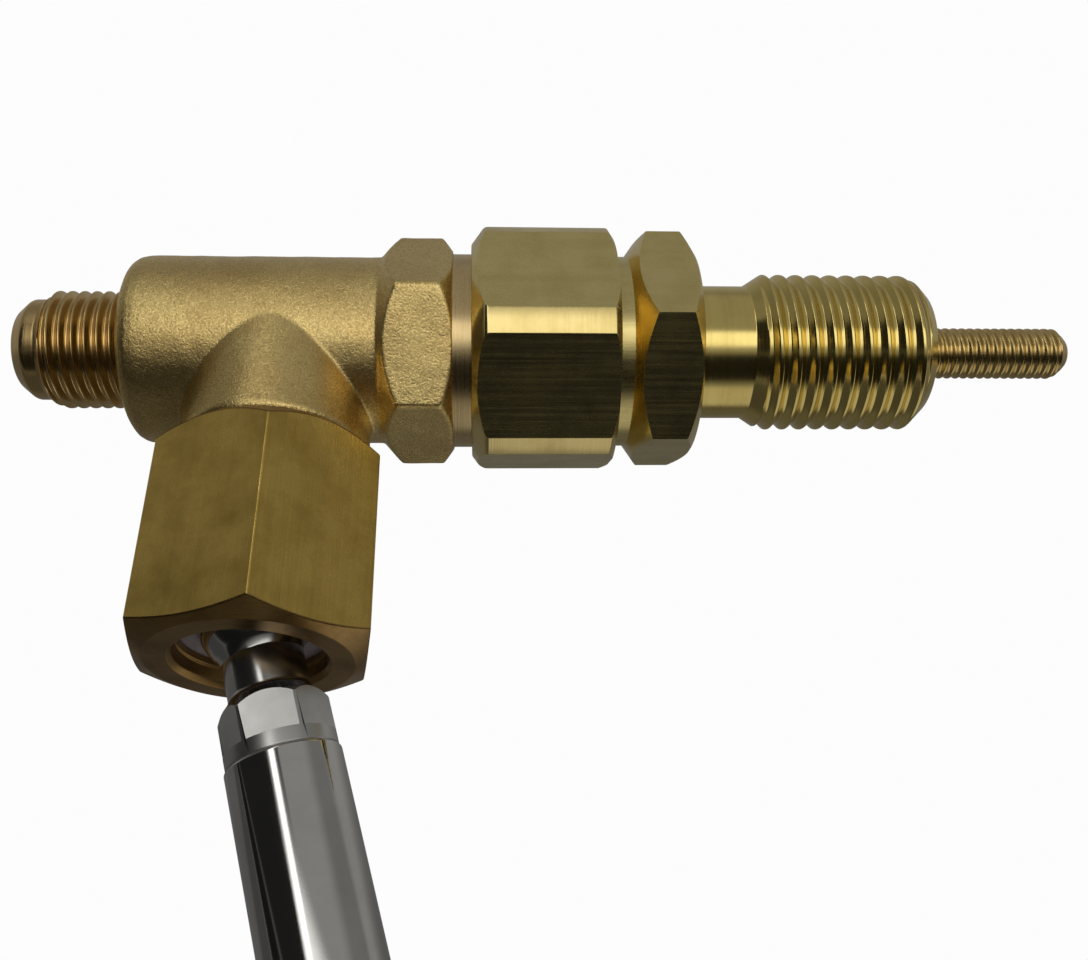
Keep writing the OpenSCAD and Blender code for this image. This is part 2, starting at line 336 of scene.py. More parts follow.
# %% Bore its passages
SEAT_POCKET_R, OUTLET_R = 3.62, 4.5
for radius, start, end, place in (
    (6.0, -6.5, 25, to_run),  # the needle's room
    (SEAT_POCKET_R, -12, -5, to_run),  # where the seat is pressed in
    (8.33, -20, -13, to_branch),  # the branch's mouth
    (OUTLET_R, -20, 0, to_branch),  # the way down to the pipe
):
    cut_round(casting, radius, start, end, place)
casting.data.shade_smooth()
casting.data.set_sharp_from_angle(angle=math.radians(50))
print("casting faces:", len(casting.data.polygons))

# %% [markdown]
# ## Inlet nipple and union collar
# Both were machined on the casting afterwards, so they are bright where the
# skin is dull. The nipple has a rounded nose and a fine thread, the collar is
# a plain turned ring that runs into the union nut. Below, the branch ends in a
# turned spigot that the outlet nut screws onto.

# %% Inlet nipple
NIPPLE_R, NIPPLE_ROOT_R, NIPPLE_PITCH, NIPPLE_DEPTH = 6.5785, 5.62, 1.337, 0.8
NIPPLE_START, NIPPLE_END, INLET_R = -26.15, -14.5, 2.75
bm = bmesh.new()
nose = rounded(
    [
        (-18, INLET_R), (-28.9, INLET_R, 0.3), (-28.9, 4.3, 0.9),
        (-27.35, NIPPLE_ROOT_R, 0.8), (NIPPLE_START, NIPPLE_ROOT_R),
    ],
    closed=False, steps=6,
)
spin(bm, [(-18, 0)] + nose, AROUND, closed=False)
nipple_outline = [
    (NIPPLE_START, NIPPLE_ROOT_R), (-25.9, NIPPLE_ROOT_R), (-24.75, NIPPLE_R),
    (-15.6, NIPPLE_R), (-14.6, NIPPLE_ROOT_R), (NIPPLE_END, NIPPLE_ROOT_R),
]
thread_tube(bm, NIPPLE_START, NIPPLE_END, NIPPLE_PITCH, NIPPLE_DEPTH, nipple_outline)
tail = [
    (NIPPLE_END, NIPPLE_ROOT_R), (NIPPLE_END, SEAT_POCKET_R), (-11.9, SEAT_POCKET_R),
    (-11.9, INLET_R), (-18, INLET_R),
]
spin(bm, tail, AROUND, closed=False)
nipple = settle("inlet_nipple", bm, to_run)

# %% Union collar
collar = turned(
    "union_collar",
    [
        (18.2, 6.3), (18.2, 10.4), (18.9, 11.0, 0.25),
        (28.9, 11.0, 0.2), (29.8, 10.1, 0.2), (29.8, 6.3),
    ],
    to_run,
)

# %% Branch spigot inside the outlet nut
spigot = turned(
    "branch_spigot",
    [
        (-25, OUTLET_R, 0.2), (-25, 7.6, 0.2), (-24.2, 8.3, 0.2),
        (-14.6, 8.3), (-14.6, OUTLET_R),
    ],
    to_branch,
)

# %% [markdown]
# ## Hexagon nuts
# A nut starts as drawn hexagon bar. The lathe then chamfers its ends, and the
# cone of the chamfer meets each flat in the curved line that every nut shows.
# An exact boolean of a hexagon prism with a turned ring gives exactly that
# curve. A fine bevel then breaks all edges, and weighted normals keep the
# flats flat in the reflections.


# %% A length of hexagon bar
def hexagon_bar(across, turn, low, high, place):
    """A plain prism between two stations, turned by turn degrees."""
    bm = bmesh.new()
    corner_r = across / math.sqrt(3)
    angles = [math.radians(turn + 60 * i) for i in range(6)]
    rows = []
    for station in (low, high):
        rows.append([bm.verts.new(on_circle(corner_r, a, station)) for a in angles])
    for i in range(6):
        k = (i + 1) % 6
        bm.faces.new([rows[0][i], rows[0][k], rows[1][k], rows[1][i]])
    bm.faces.new(rows[0])
    bm.faces.new(rows[1])
    return settle("prism", bm, place, smooth=False)


# %% A turned ring cut to a hexagon
def hex_nut(name, across, turn, corners, place, bevel):
    """The ring that the corners draw, kept only inside the hexagon bar."""
    bm = bmesh.new()
    spin(bm, rounded(corners, steps=3), AROUND)
    nut = settle(name, bm, place, smooth=False)
    stations = [c[0] for c in corners]
    prism = hexagon_bar(across, turn, min(stations) - 1, max(stations) + 1, place)
    cut_with(nut, prism, "hexagon", "INTERSECT")
    break_edges(nut, bevel, 3)
    crisp_shading(nut, NUT_EDGE)
    print(f"{name}: {len(nut.data.polygons)} faces")
    return nut


# %% Union nut
union_nut = hex_nut(
    "union_nut_piece", 25.7, 55,
    [
        (21.2, 11.55), (21.2, 12.05, 0.4), (22.7, 14.1, 0.7), (36.3, 14.1, 0.25),
        (37.0, 13.1, 0.2), (37.0, 9.2), (33.1, 9.2), (33.1, 10.1), (29.9, 10.1),
        (29.9, 11.05), (21.8, 11.05),
    ],
    to_run, bevel=0.1,
)

# %% Lock nut with its turned boss
lock_nut = hex_nut(
    "lock_nut_piece", 24, 51,
    [
        (37.12, 9.05), (37.12, 10.88, 0.2), (38.7, 10.88), (40.8, 13.87, 0.2),
        (44.6, 13.87, 0.3), (46.1, 11.65, 0.25), (46.1, 9.4), (45.7, 9.05),
    ],
    to_run, bevel=0.12,
)

# %% Outlet nut
outlet_nut = hex_nut(
    "outlet_nut_piece", 22.1, -81.9,
    [
        (-15.5, 8.4), (-15.5, 10.85, 0.15), (-17.4, 12.8), (-36.8, 12.8), (-38.0, 10.0, 0.3),
        (-38.0, 7.75, 0.15), (-37.5, 7.25), (-36.2, 7.25), (-36.2, 6.95), (-35.4, 6.95),
        (-35.4, 8.0), (-25.5, 8.0), (-25.5, 8.4),
    ],
    to_branch, bevel=0.26,
)

# %% [markdown]
# ## Bonnet and spindle
# In front of the lock nut the bonnet narrows to a polished relief neck, where
# the threading tool could run out, and then carries the coarse panel thread.
# The spindle that turns inside it ends in a fine thread for the hand knob.

# %% Bonnet
PANEL_R, PANEL_PITCH, PANEL_DEPTH = 9.0, 2.0, 0.62
PANEL_START, PANEL_END, PANEL_END_R = 52.4, 73.0, 7.5
NECK_R, STEM_HOLE_R = 7.65, 3.06
bm = bmesh.new()
inside_and_neck = [
    (71.0, STEM_HOLE_R), (71.0, 4.0), (52.9, 4.0), (52.9, 5.0), (30.9, 5.0),
    (30.9, 10.0, 0.2), (33.1, 10.0), (33.1, PANEL_R), (45.5, PANEL_R, 0.2),
    (46.5, NECK_R, 0.3), (PANEL_START, NECK_R),
]
spin(bm, rounded(inside_and_neck, closed=False), AROUND, closed=False)
panel_outline = [
    (PANEL_START, NECK_R), (52.6, NECK_R), (54.7, PANEL_R), (71.5, PANEL_R),
    (72.9, 7.6), (PANEL_END, PANEL_END_R),
]
thread_tube(bm, PANEL_START, PANEL_END, PANEL_PITCH, PANEL_DEPTH, panel_outline)
front_face = [
    (PANEL_END, PANEL_END_R), (73.3, 7.2, 0.2), (73.3, 3.5, 0.2),
    (73.0, STEM_HOLE_R), (71.0, STEM_HOLE_R),
]
spin(bm, rounded(front_face, closed=False), AROUND, closed=False)
bonnet = settle("bonnet_piece", bm, to_run)

# %% Spindle
SPINDLE_R, SPINDLE_PITCH, SPINDLE_DEPTH = 2.97, 1.0, 0.24
SPINDLE_START, SPINDLE_END, SPINDLE_TIP_R = 73.9, 90.7, 2.3
RELIEF_R, RING_GROOVE_R, PACKING_R, THIN = 2.4, 2.45, 3.9, 96
bm = bmesh.new()
shank = [
    # the pocket that holds the needle, then the slim part
    (13.3, 0), (13.3, 2.36), (11.2, 2.36), (11.2, 2.8), (10.4, 2.8), (10.4, 2.36),
    (7.6, 2.36), (7.6, 3.8), (8.2, 4.4), (15, 4.4), (16.2, 3.2), (33, 3.2),
    # the part that screws into the bonnet
    (33, 4.15), (33.8, 4.95), (46.7, 4.95), (47.5, PACKING_R),
    # two grooves for the seals
    (56, PACKING_R), (56, RING_GROOVE_R), (58.2, RING_GROOVE_R), (58.2, PACKING_R),
    (61, PACKING_R), (61, RING_GROOVE_R), (63.2, RING_GROOVE_R), (63.2, PACKING_R),
    # the shoulder and the run-out before the end thread
    (65.5, PACKING_R), (66, 3.4), (66, 3.0), (73, 3.0), (73, RELIEF_R),
    (SPINDLE_START, RELIEF_R),
]
spin(bm, shank, THIN, closed=False)
spindle_outline = [
    (SPINDLE_START, RELIEF_R), (74.5, SPINDLE_R), (89.9, SPINDLE_R), (90.6, 2.35),
    (SPINDLE_END, SPINDLE_TIP_R),
]
thread_tube(
    bm, SPINDLE_START, SPINDLE_END, SPINDLE_PITCH, SPINDLE_DEPTH, spindle_outline,
    segments=THIN, steps=16,
)
end_face = [(SPINDLE_END, SPINDLE_TIP_R), (91.3, 1.7, 0.4), (91.3, 0)]
spin(bm, rounded(end_face, closed=False), THIN, closed=False)
spindle = settle("spindle_piece", bm, to_run)

# %% [markdown]
# ## Ball, hub and pipe
# The ball, its neck and the wrench hub are one turned steel piece. The six
# wrench flats are milled into the round hub, so they end in a step above the
# seam to the pipe. The pipe is drawn tube, polished to a mirror.

# %% Turn the ball, its neck and the hub
BALL_R, BALL_NECK_R, HUB_R = 5.5, 3.9, 5.22
BALL_BACK, BALL_FRONT = math.radians(-69.8), math.radians(40)
SEAM, PLUG_END, PLUG_R, STEM_BORE_R = 14.6, 20.6, 4.18, 1.9
bm = bmesh.new()
ball = [
    (BALL_R * math.sin(a), BALL_R * math.cos(a))
    for a in np.linspace(BALL_BACK, BALL_FRONT, 40)
]
neck = rounded(
    [
        ball[-1], (4.3, BALL_NECK_R, 0.4), (8.2, BALL_NECK_R, 1.1), (9.25, 4.85, 0.15),
        (9.7, HUB_R, 0.2), (14.4, HUB_R, 0.1), (SEAM, 5.05),
    ],
    closed=False,
)
plug = [(SEAM, PLUG_R), (PLUG_END, PLUG_R), (PLUG_END, STEM_BORE_R)]
spin(bm, ball + neck[1:] + plug, AROUND)
stem = settle("ball_stem_piece", bm, to_pipe, smooth=False)

# %% Mill the six flats
# The cutter is a hexagonal ring: outside the hub it clears everything, inside
# it leaves the hexagon standing.
HUB_ACROSS, HUB_TURN = 9.2, 9.2
FLATS_START, FLATS_END, CUTTER_R = 8.0, 13.05, 7.5
bm = bmesh.new()
for station in (FLATS_START, FLATS_END):
    for radius in (CUTTER_R, HUB_ACROSS / math.sqrt(3)):
        for i in range(6):
            bm.verts.new(on_circle(radius, math.radians(HUB_TURN + 60 * i), station))
bm.verts.ensure_lookup_table()
v = bm.verts
for i in range(6):
    k = (i + 1) % 6
    bm.faces.new([v[i], v[k], v[k + 6], v[i + 6]])
    bm.faces.new([v[i + 12], v[i + 18], v[k + 18], v[k + 12]])
    bm.faces.new([v[i], v[i + 12], v[k + 12], v[k]])
    bm.faces.new([v[i + 6], v[k + 6], v[k + 18], v[i + 18]])
cut_with(stem, settle("cutter", bm, to_pipe, smooth=False), "flats", "DIFFERENCE")
break_edges(stem, 0.05, 2)
crisp_shading(stem, STEM_EDGE)
print(f"ball stem after milling: {len(stem.data.polygons)} faces")

# %% Pipe and its nozzle
PIPE_R, PIPE_BORE, PIPE_START, PIPE_END = 5.4, 4.2, 14.62, 118
pipe = turned(
    "outlet_pipe_piece",
    [
        (PIPE_START, PIPE_BORE), (PIPE_START, PIPE_R, 0.18),
        (PIPE_END, PIPE_R, 0.15), (PIPE_END, PIPE_BORE),
    ],
    to_pipe, segments=192,
)
tip = turned(
    "nozzle_tip_piece",
    [
        (112.8, 2.2), (112.8, 3.58, 0.1), (118.82, 3.58), (118.82, 4.92, 0.1),
        (119.1, 5.22, 0.1), (124.3, 5.22, 0.8), (127.8, 2.6, 0.6), (127.8, 1.0, 0.2),
        (122.8, 1.0), (122.8, 2.2),
    ],
    to_pipe,
)

# %% [markdown]
# ## Finishes
# Metal is all reflection, so what tells one finish from another is how the
# surface scatters it: cast brass has a grainy skin, turned brass has fine
# rings around its axis, drawn bar has scratches along it, and polished steel
# is nearly a mirror. Each finish is a Principled shader whose colour,
# roughness and bump come from noise laid out in the piece's own directions.


# %% Small tools for wiring nodes
def put(tree, kind, settings=None, **inputs):
    """Adds a node; a socket given as an input is linked, a number is set on it."""
    node = tree.nodes.new(kind)
    for key, value in (settings or {}).items():
        setattr(node, key, value)
    for key, value in inputs.items():
        socket = node.inputs[key.replace("_", " ")]
        if isinstance(value, bpy.types.NodeSocket):
            tree.links.new(value, socket)
        else:
            socket.default_value = value
    return node


def maths(tree, operation, *values):
    """One arithmetic step between sockets and numbers."""
    node = tree.nodes.new("ShaderNodeMath")
    node.operation = operation
    for i, value in enumerate(values):
        if isinstance(value, bpy.types.NodeSocket):
            tree.links.new(value, node.inputs[i])
        else:
            node.inputs[i].default_value = value
    return node.outputs[0]


def span(tree, value, low, high, to_low=0.0, to_high=1.0, smooth=False):
    """Maps value from low..high to to_low..to_high, clamped."""
    kind = "SMOOTHSTEP" if smooth else "LINEAR"
    node = put(tree, "ShaderNodeMapRange", {"interpolation_type": kind}, Value=value)
    ends = {"From Min": low, "From Max": high, "To Min": to_low, "To Max": to_high}
    for key, number in ends.items():
        node.inputs[key].default_value = number
    return node.outputs["Result"]


# A mix node has sockets for every kind of value; these are its colour ones.
MIX_SHARE, MIX_ONE, MIX_TWO, MIX_RESULT = 0, 6, 7, 2


def blend_colour(tree, share, one, two):
    """Colour one where share is 0, colour two where it is 1."""
    node = tree.nodes.new("ShaderNodeMix")
    node.data_type = "RGBA"
    tree.links.new(share, node.inputs[MIX_SHARE])
    for index, value in ((MIX_ONE, one), (MIX_TWO, two)):
        if isinstance(value, bpy.types.NodeSocket):
            tree.links.new(value, node.inputs[index])
        else:
            node.inputs[index].default_value = (*value, 1)
    return node.outputs[MIX_RESULT]


def new_finish(name, metallic=1.0):
    """A material with its tree, its shader and the place of each point in metres."""
    material = bpy.data.materials.new(name)
    material.use_nodes = True
    tree = material.node_tree
    shader = tree.nodes["Principled BSDF"]
    shader.inputs["Metallic"].default_value = metallic
    where = tree.nodes.new("ShaderNodeTexCoord").outputs["Object"]
    return material, tree, shader, where


# %% [markdown]
# ## Grain that follows the machining
# A lathe tool leaves rings, and drawing bar through a die leaves lines along
# it. Both come from plain noise in bent space: for rings we look the noise up
# by distance from the axis and place along it, for lines we squeeze space
# across the bar. The scales are lumps per metre, so 4400 is a grain of about
# a quarter of a millimetre.

# %% Noise laid along or around an axis
AXIS_X, AXIS_Z = "x", "z"


def stretched(tree, where, scale):
    """Space multiplied by a different number in each direction."""
    node = put(tree, "ShaderNodeVectorMath", {"operation": "MULTIPLY"})
    tree.links.new(where, node.inputs[0])
    node.inputs[1].default_value = scale
    return node.outputs[0]


def noise(tree, vector, scale=1.0, detail=2.0, roughness=0.5):
    """Cloudy values around 0.5."""
    settings = {"Vector": vector, "Scale": scale, "Detail": detail, "Roughness": roughness}
    return put(tree, "ShaderNodeTexNoise", None, **settings).outputs["Fac"]


def rings(tree, where, axis, centre, fine):
    """A value that changes along the axis and outward, but not around it: turning marks."""
    moved = put(tree, "ShaderNodeVectorMath", {"operation": "SUBTRACT"})
    tree.links.new(where, moved.inputs[0])
    moved.inputs[1].default_value = centre
    flat = stretched(tree, moved.outputs[0], (0, 1, 1) if axis == AXIS_X else (1, 1, 0))
    length = put(tree, "ShaderNodeVectorMath", {"operation": "LENGTH"})
    tree.links.new(flat, length.inputs[0])
    parts = put(tree, "ShaderNodeSeparateXYZ", None, Vector=moved.outputs[0])
    joined = tree.nodes.new("ShaderNodeCombineXYZ")
    tree.links.new(length.outputs["Value"], joined.inputs[0])
    tree.links.new(parts.outputs[0 if axis == AXIS_X else 2], joined.inputs[1])
    return noise(tree, joined.outputs[0], fine, detail=2, roughness=0.6)


def mixed(tree, one, two, share_one, share_two):
    """Two values added, each at its own share."""
    first = maths(tree, "MULTIPLY", one, share_one)
    return maths(tree, "ADD", first, maths(tree, "MULTIPLY", two, share_two))


def set_bump(tree, shader, height, strength, depth):
    """Tilts the surface by the height's slope; depth in metres."""
    bump = put(tree, "ShaderNodeBump", None, Height=height, Strength=strength, Distance=depth)
    tree.links.new(bump.outputs["Normal"], shader.inputs["Normal"])


# %% [markdown]
# ## The brass finishes
# Sand leaves a bright, speckled skin with darker pits. Turned brass is
# smoother, with rings and a little tarnish. Drawn bar keeps its long lines and
# stains where hands and oil have been.

# %% Sand-cast brass
SAND_DARK, SAND_LIGHT, SAND_PIT = (0.74, 0.53, 0.21), (0.9, 0.7, 0.29), (0.38, 0.25, 0.08)


def cast_brass():
    """Patches of two shades, dark pits, and a grainy height."""
    material, tree, shader, where = new_finish("cast brass")
    grain = noise(tree, where, 4400, detail=3, roughness=0.65)
    lumps = noise(tree, where, 420, detail=3, roughness=0.5)
    patches = noise(tree, where, 110, detail=4, roughness=0.6)
    colour = blend_colour(tree, span(tree, patches, 0.35, 0.68), SAND_DARK, SAND_LIGHT)
    colour = blend_colour(tree, span(tree, grain, 0.46, 0.68, 0, 0.6), colour, SAND_PIT)
    tree.links.new(colour, shader.inputs["Base Color"])
    tree.links.new(span(tree, grain, 0.3, 0.75, 0.22, 0.4), shader.inputs["Roughness"])
    set_bump(tree, shader, mixed(tree, lumps, grain, 0.5, 0.5), strength=0.6, depth=0.0002)
    return material


# %% Turned brass
def turned_brass(name, axis, centre, light, stain, rough, tarnish=0.5):
    """Fine and wide rings round the axis; rough is the lowest and highest roughness."""
    material, tree, shader, where = new_finish(name)
    marks = rings(tree, where, axis, centre, fine=5200)
    wide = rings(tree, where, axis, centre, fine=900)
    patches = noise(tree, where, 160, detail=4, roughness=0.62)
    colour = blend_colour(tree, span(tree, patches, 0.42, 0.75, 0, tarnish), light, stain)
    colour = blend_colour(tree, span(tree, wide, 0.45, 0.75, 0, 0.25), colour, stain)
    tree.links.new(colour, shader.inputs["Base Color"])
    smear = mixed(tree, marks, patches, 0.5, 0.5)
    tree.links.new(span(tree, smear, 0.35, 0.68, *rough), shader.inputs["Roughness"])
    height = maths(tree, "ADD", marks, maths(tree, "MULTIPLY", wide, 0.8))
    set_bump(tree, shader, height, strength=0.35, depth=0.00002)
    return material


# %% Drawn hexagon bar
ALONG_BAR, ACROSS_BAR = 60, 3200


def drawn_brass(name, axis, light, stain, rough, scratch):
    """Fine and broad lines along the bar; scratch is the strength of their bump."""
    material, tree, shader, where = new_finish(name)
    along = (ALONG_BAR, ACROSS_BAR, ACROSS_BAR)
    if axis == AXIS_Z:
        along = (ACROSS_BAR, ACROSS_BAR, ALONG_BAR)
    lines = noise(tree, stretched(tree, where, along), detail=3, roughness=0.6)
    broad_space = stretched(tree, where, tuple(c * 0.2 for c in along))
    broad = noise(tree, broad_space, detail=2, roughness=0.5)
    patches = noise(tree, where, 220, detail=5, roughness=0.65)
    colour = blend_colour(tree, span(tree, patches, 0.4, 0.72, 0, 0.75), light, stain)
    colour = blend_colour(tree, span(tree, broad, 0.5, 0.8, 0, 0.45), colour, stain)
    tree.links.new(colour, shader.inputs["Base Color"])
    smear = mixed(tree, lines, patches, 0.55, 0.45)
    tree.links.new(span(tree, smear, 0.35, 0.68, *rough), shader.inputs["Roughness"])
    height = maths(tree, "ADD", lines, maths(tree, "MULTIPLY", patches, 0.7))
    set_bump(tree, shader, height, scratch, depth=0.00003)
    return material


# %% [markdown]
# ## Steel and seals
# Polished steel has hardly any grain of its own, only smudges that change how
# sharp it mirrors. The seals aren't metal: they scatter light from just under
# a dull, speckled surface.

# %% Steel
def steel(name, axis, centre, light, dark, rough):
    """Smudges in colour and roughness, over very faint rings."""
    material, tree, shader, where = new_finish(name)
    marks = rings(tree, where, axis, centre, fine=4200)
    smudge = noise(tree, where, 140, detail=4, roughness=0.6)
    colour = blend_colour(tree, span(tree, smudge, 0.35, 0.7), light, dark)
    tree.links.new(colour, shader.inputs["Base Color"])
    tree.links.new(span(tree, smudge, 0.35, 0.7, *rough), shader.inputs["Roughness"])
    set_bump(tree, shader, marks, strength=0.12, depth=0.00001)
    return material


# %% Seals
def soft_seal(name, light, dark, rough, grain_scale):
    """Specks of two shades on a surface that isn't metal."""
    material, tree, shader, where = new_finish(name, metallic=0.0)
    speck = noise(tree, where, grain_scale, detail=3, roughness=0.6)
    colour = blend_colour(tree, span(tree, speck, 0.35, 0.7), light, dark)
    tree.links.new(colour, shader.inputs["Base Color"])
    tree.links.new(span(tree, speck, 0.3, 0.7, *rough), shader.inputs["Roughness"])
    set_bump(tree, shader, speck, strength=0.2, depth=0.00003)
    return material


# %% Mix the brass finishes for this valve
RUN_CENTRE = (0, 0, 0)
BRANCH_CENTRE = (ball_centre.x, 0, 0)
on_run = (AXIS_X, RUN_CENTRE)
cast_skin = cast_brass()
nipple_brass = turned_brass(
    "nipple brass", *on_run, light=(0.7, 0.5, 0.22), stain=(0.46, 0.3, 0.11), rough=(0.18, 0.3),
)
collar_brass = turned_brass(
    "collar brass", *on_run, light=(0.7, 0.53, 0.27), stain=(0.46, 0.33, 0.14), rough=(0.2, 0.34),
)
bright_brass = turned_brass(
    "bright brass", *on_run, light=(0.78, 0.62, 0.22), stain=(0.52, 0.38, 0.1),
    rough=(0.12, 0.24), tarnish=0.4,
)
spindle_brass = turned_brass(
    "spindle brass", *on_run, light=(0.68, 0.5, 0.2), stain=(0.46, 0.31, 0.1), rough=(0.18, 0.32),
)
nut_turned = turned_brass(
    "nut chamfer brass", *on_run, light=(0.8, 0.64, 0.27), stain=(0.55, 0.42, 0.13),
    rough=(0.14, 0.28),
)
nut_flats = drawn_brass(
    "nut flat brass", AXIS_X, light=(0.74, 0.62, 0.27), stain=(0.6, 0.48, 0.18),
    rough=(0.2, 0.34), scratch=0.2,
)
# The outlet nut's turned ends and mouth get a far darker brown than the other turned brass. Their dark stain
# colour and high tarnish share are painted shade for the underside of the nut, which faces down away from the
# light.
outlet_turned_painted_shade = turned_brass(
    "outlet chamfer brass painted shade", AXIS_Z, BRANCH_CENTRE, light=(0.38, 0.235, 0.08),
    stain=(0.18, 0.1, 0.03), rough=(0.24, 0.42), tarnish=0.9,
)
outlet_flats = drawn_brass(
    "outlet flat brass", AXIS_Z, light=(0.86, 0.6, 0.16), stain=(0.5, 0.33, 0.07),
    rough=(0.2, 0.4), scratch=0.8,
)

# %% Mix the steels and seals
# The ball and its neck get a darker steel than the plug and hub. This is painted shade for the inside of the
# outlet nut's mouth.
neck_steel_painted_shade = steel(
    "neck steel painted shade", *on_run, light=(0.5, 0.495, 0.48), dark=(0.36, 0.355, 0.34), rough=(0.16, 0.26),
)
mirror_steel = steel(
    "polished steel", *on_run, light=(0.66, 0.655, 0.64), dark=(0.56, 0.555, 0.54),
    rough=(0.06, 0.11),
)
satin_steel = steel(
    "satin steel", *on_run, light=(0.62, 0.62, 0.6), dark=(0.48, 0.48, 0.465), rough=(0.28, 0.4),
)
# The white seals are given a dim grey-pink instead of white. This is painted shade for the seat inside the outlet
# nut's mouth, and it goes on every white seal.
shaded_white_ptfe = soft_seal(
    "white seal painted shade", light=(0.58, 0.52, 0.55), dark=(0.46, 0.41, 0.44), rough=(0.4, 0.6),
    grain_scale=900,
)
black_rubber = soft_seal(
    "black seal", light=(0.03, 0.03, 0.03), dark=(0.012, 0.012, 0.012), rough=(0.5, 0.7),
    grain_scale=1500,
)
print("finishes:", ", ".join(sorted(m.name for m in bpy.data.materials)))

# %% [markdown]
# ## Which finish goes where
# A nut has two finishes: the flats keep the drawn bar's skin, and the ends
# were turned. Instead of painting a mask, each face looks at its own direction
# and distance from the axis and picks its slot.


# %% Give a piece its finishes
def paint(obj, *finishes):
    """Puts the finishes in the piece's slots; a face uses the first unless told."""
    obj.data.materials.clear()
    for finish in finishes:
        obj.data.materials.append(finish)


# %% Give a nut its two finishes
LEVEL, INNER_R = 0.03, 9.5


def two_finishes(obj, place, flat_finish, turned_finish, land_r):
    """Flats are level with the axis and lie between INNER_R and land_r."""
    paint(obj, flat_finish, turned_finish)
    back = place.inverted()
    axis = (place.to_3x3() @ Vector((0, 0, 1))).normalized()
    flats = 0
    for face in obj.data.polygons:
        spot = back @ face.center
        outward = Vector((spot.x, spot.y, 0)).length
        is_flat = abs(face.normal.dot(axis)) < LEVEL and INNER_R < outward < land_r
        face.material_index = 0 if is_flat else 1
        flats += is_flat
    print(f"{obj.name}: {flats} faces keep the bar's skin")


# %% Paint every new piece
ROUNDED_CORNER_R, BEYOND = 13.95, 20  # BEYOND is past every corner
paint(casting, cast_skin)
paint(nipple, nipple_brass)
paint(collar, collar_brass)
paint(spigot, collar_brass)
paint(bonnet, bright_brass)
paint(spindle, spindle_brass)
two_finishes(union_nut, to_run, nut_flats, nut_turned, ROUNDED_CORNER_R)
two_finishes(lock_nut, to_run, nut_flats, nut_turned, BEYOND)
two_finishes(outlet_nut, to_branch, outlet_flats, outlet_turned_painted_shade, BEYOND)
paint(pipe, mirror_steel)
paint(tip, mirror_steel)

# %% The stem: plug polished, hub satin, ball and neck in between, in a darker steel that is painted shade
PLUG_FROM, HUB_FROM = 14.65, 8.9
paint(stem, mirror_steel, satin_steel, neck_steel_painted_shade)
pipe_back = to_pipe.inverted()
for face in stem.data.polygons:
    along = (pipe_back @ face.center).z
    face.material_index = 0 if along > PLUG_FROM else 1 if along > HUB_FROM else 2

# %% [markdown]
# ## Fit the new pieces to the frame
# Each new piece rides on the body that carries its solid, and that solid, where there is one,
# is hidden. The hidden inner pieces keep their solids, with a finish that
# suits them.

# %% Ride and replace
fitted = [
    (casting, "valve", "cast_brass", ["valve_body"]),
    (nipple, "valve", "cast_brass", []),
    (collar, "valve", "cast_brass", []),
    (spigot, "valve", "cast_brass", []),
    (bonnet, "valve", "turned_brass", ["bonnet"]),
    (union_nut, "valve", "turned_brass", ["union_nut"]),
    (lock_nut, "valve", "turned_brass", ["lock_nut"]),
    (outlet_nut, "valve", "turned_brass", ["outlet_nut"]),
    (spindle, "spindle_body", "turned_brass", ["spindle"]),
    (stem, "pipe", "polished_steel", ["ball_stem"]),
    (pipe, "pipe", "polished_steel", ["outlet_pipe"]),
    (tip, "pipe", "polished_steel", ["nozzle_tip"]),
]
for piece, body, slot_name, nodes in fitted:
    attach(piece, body)
    if nodes:
        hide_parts(*nodes)

inner = {
    "seat_bush": satin_steel, "needle": satin_steel, "needle_snap_ring": satin_steel,
    "disc_springs": satin_steel, "thrust_washer": satin_steel,
    "bonnet_gasket": shaded_white_ptfe, "upper_ball_seat": shaded_white_ptfe, "lower_ball_seat": shaded_white_ptfe,
    "tip_gasket": shaded_white_ptfe, "inner_o_ring": black_rubber, "outer_o_ring": black_rubber,
    "outlet_gasket": black_rubber,
}
for name, finish in inner.items():
    paint(frame["nodes"][name], finish)
print(f"{len(fitted)} new pieces, {len(inner)} carried over")

# %% [markdown]
# ## Camera
# The view looks slightly up at the valve from the branch side, with a normal
# lens. The turns are given the way a tripod head has them: pan, tilt, roll.

# %% Camera
TRIPOD = (-0.04131, -0.09897, -0.07902)
PAN, NOD, ROLL = -0.0716, 0.5551, 0.0409
SENSOR, LENS, NEAREST, FURTHEST = 36, 35.965, 0.002, 20
camera = bpy.data.objects.new("camera", bpy.data.cameras.new("camera"))
bpy.context.scene.collection.objects.link(camera)
turn = (
    Matrix.Rotation(PAN, 4, "Z") @ Matrix.Rotation(NOD, 4, "X")
    @ Matrix.Rotation(ROLL, 4, "Y") @ Matrix.Rotation(math.radians(90), 4, "X")
)
camera.matrix_world = Matrix.Translation(TRIPOD) @ turn
camera.data.sensor_width = SENSOR
camera.data.lens = LENS
camera.data.clip_start, camera.data.clip_end = NEAREST, FURTHEST
bpy.context.scene.camera = camera
print(f"camera {camera.location.length * 1000:.0f} mm from the origin")

# %% [markdown]
# ## A light tent
# A mirror shows whatever surrounds it, so shiny parts are shown off in a tent:
# soft walls with a bright panel in front, and dark gaps that draw the edges.
# Here the tent is one big sphere whose glow depends on direction. The camera
# looks through it at a plain pale room.


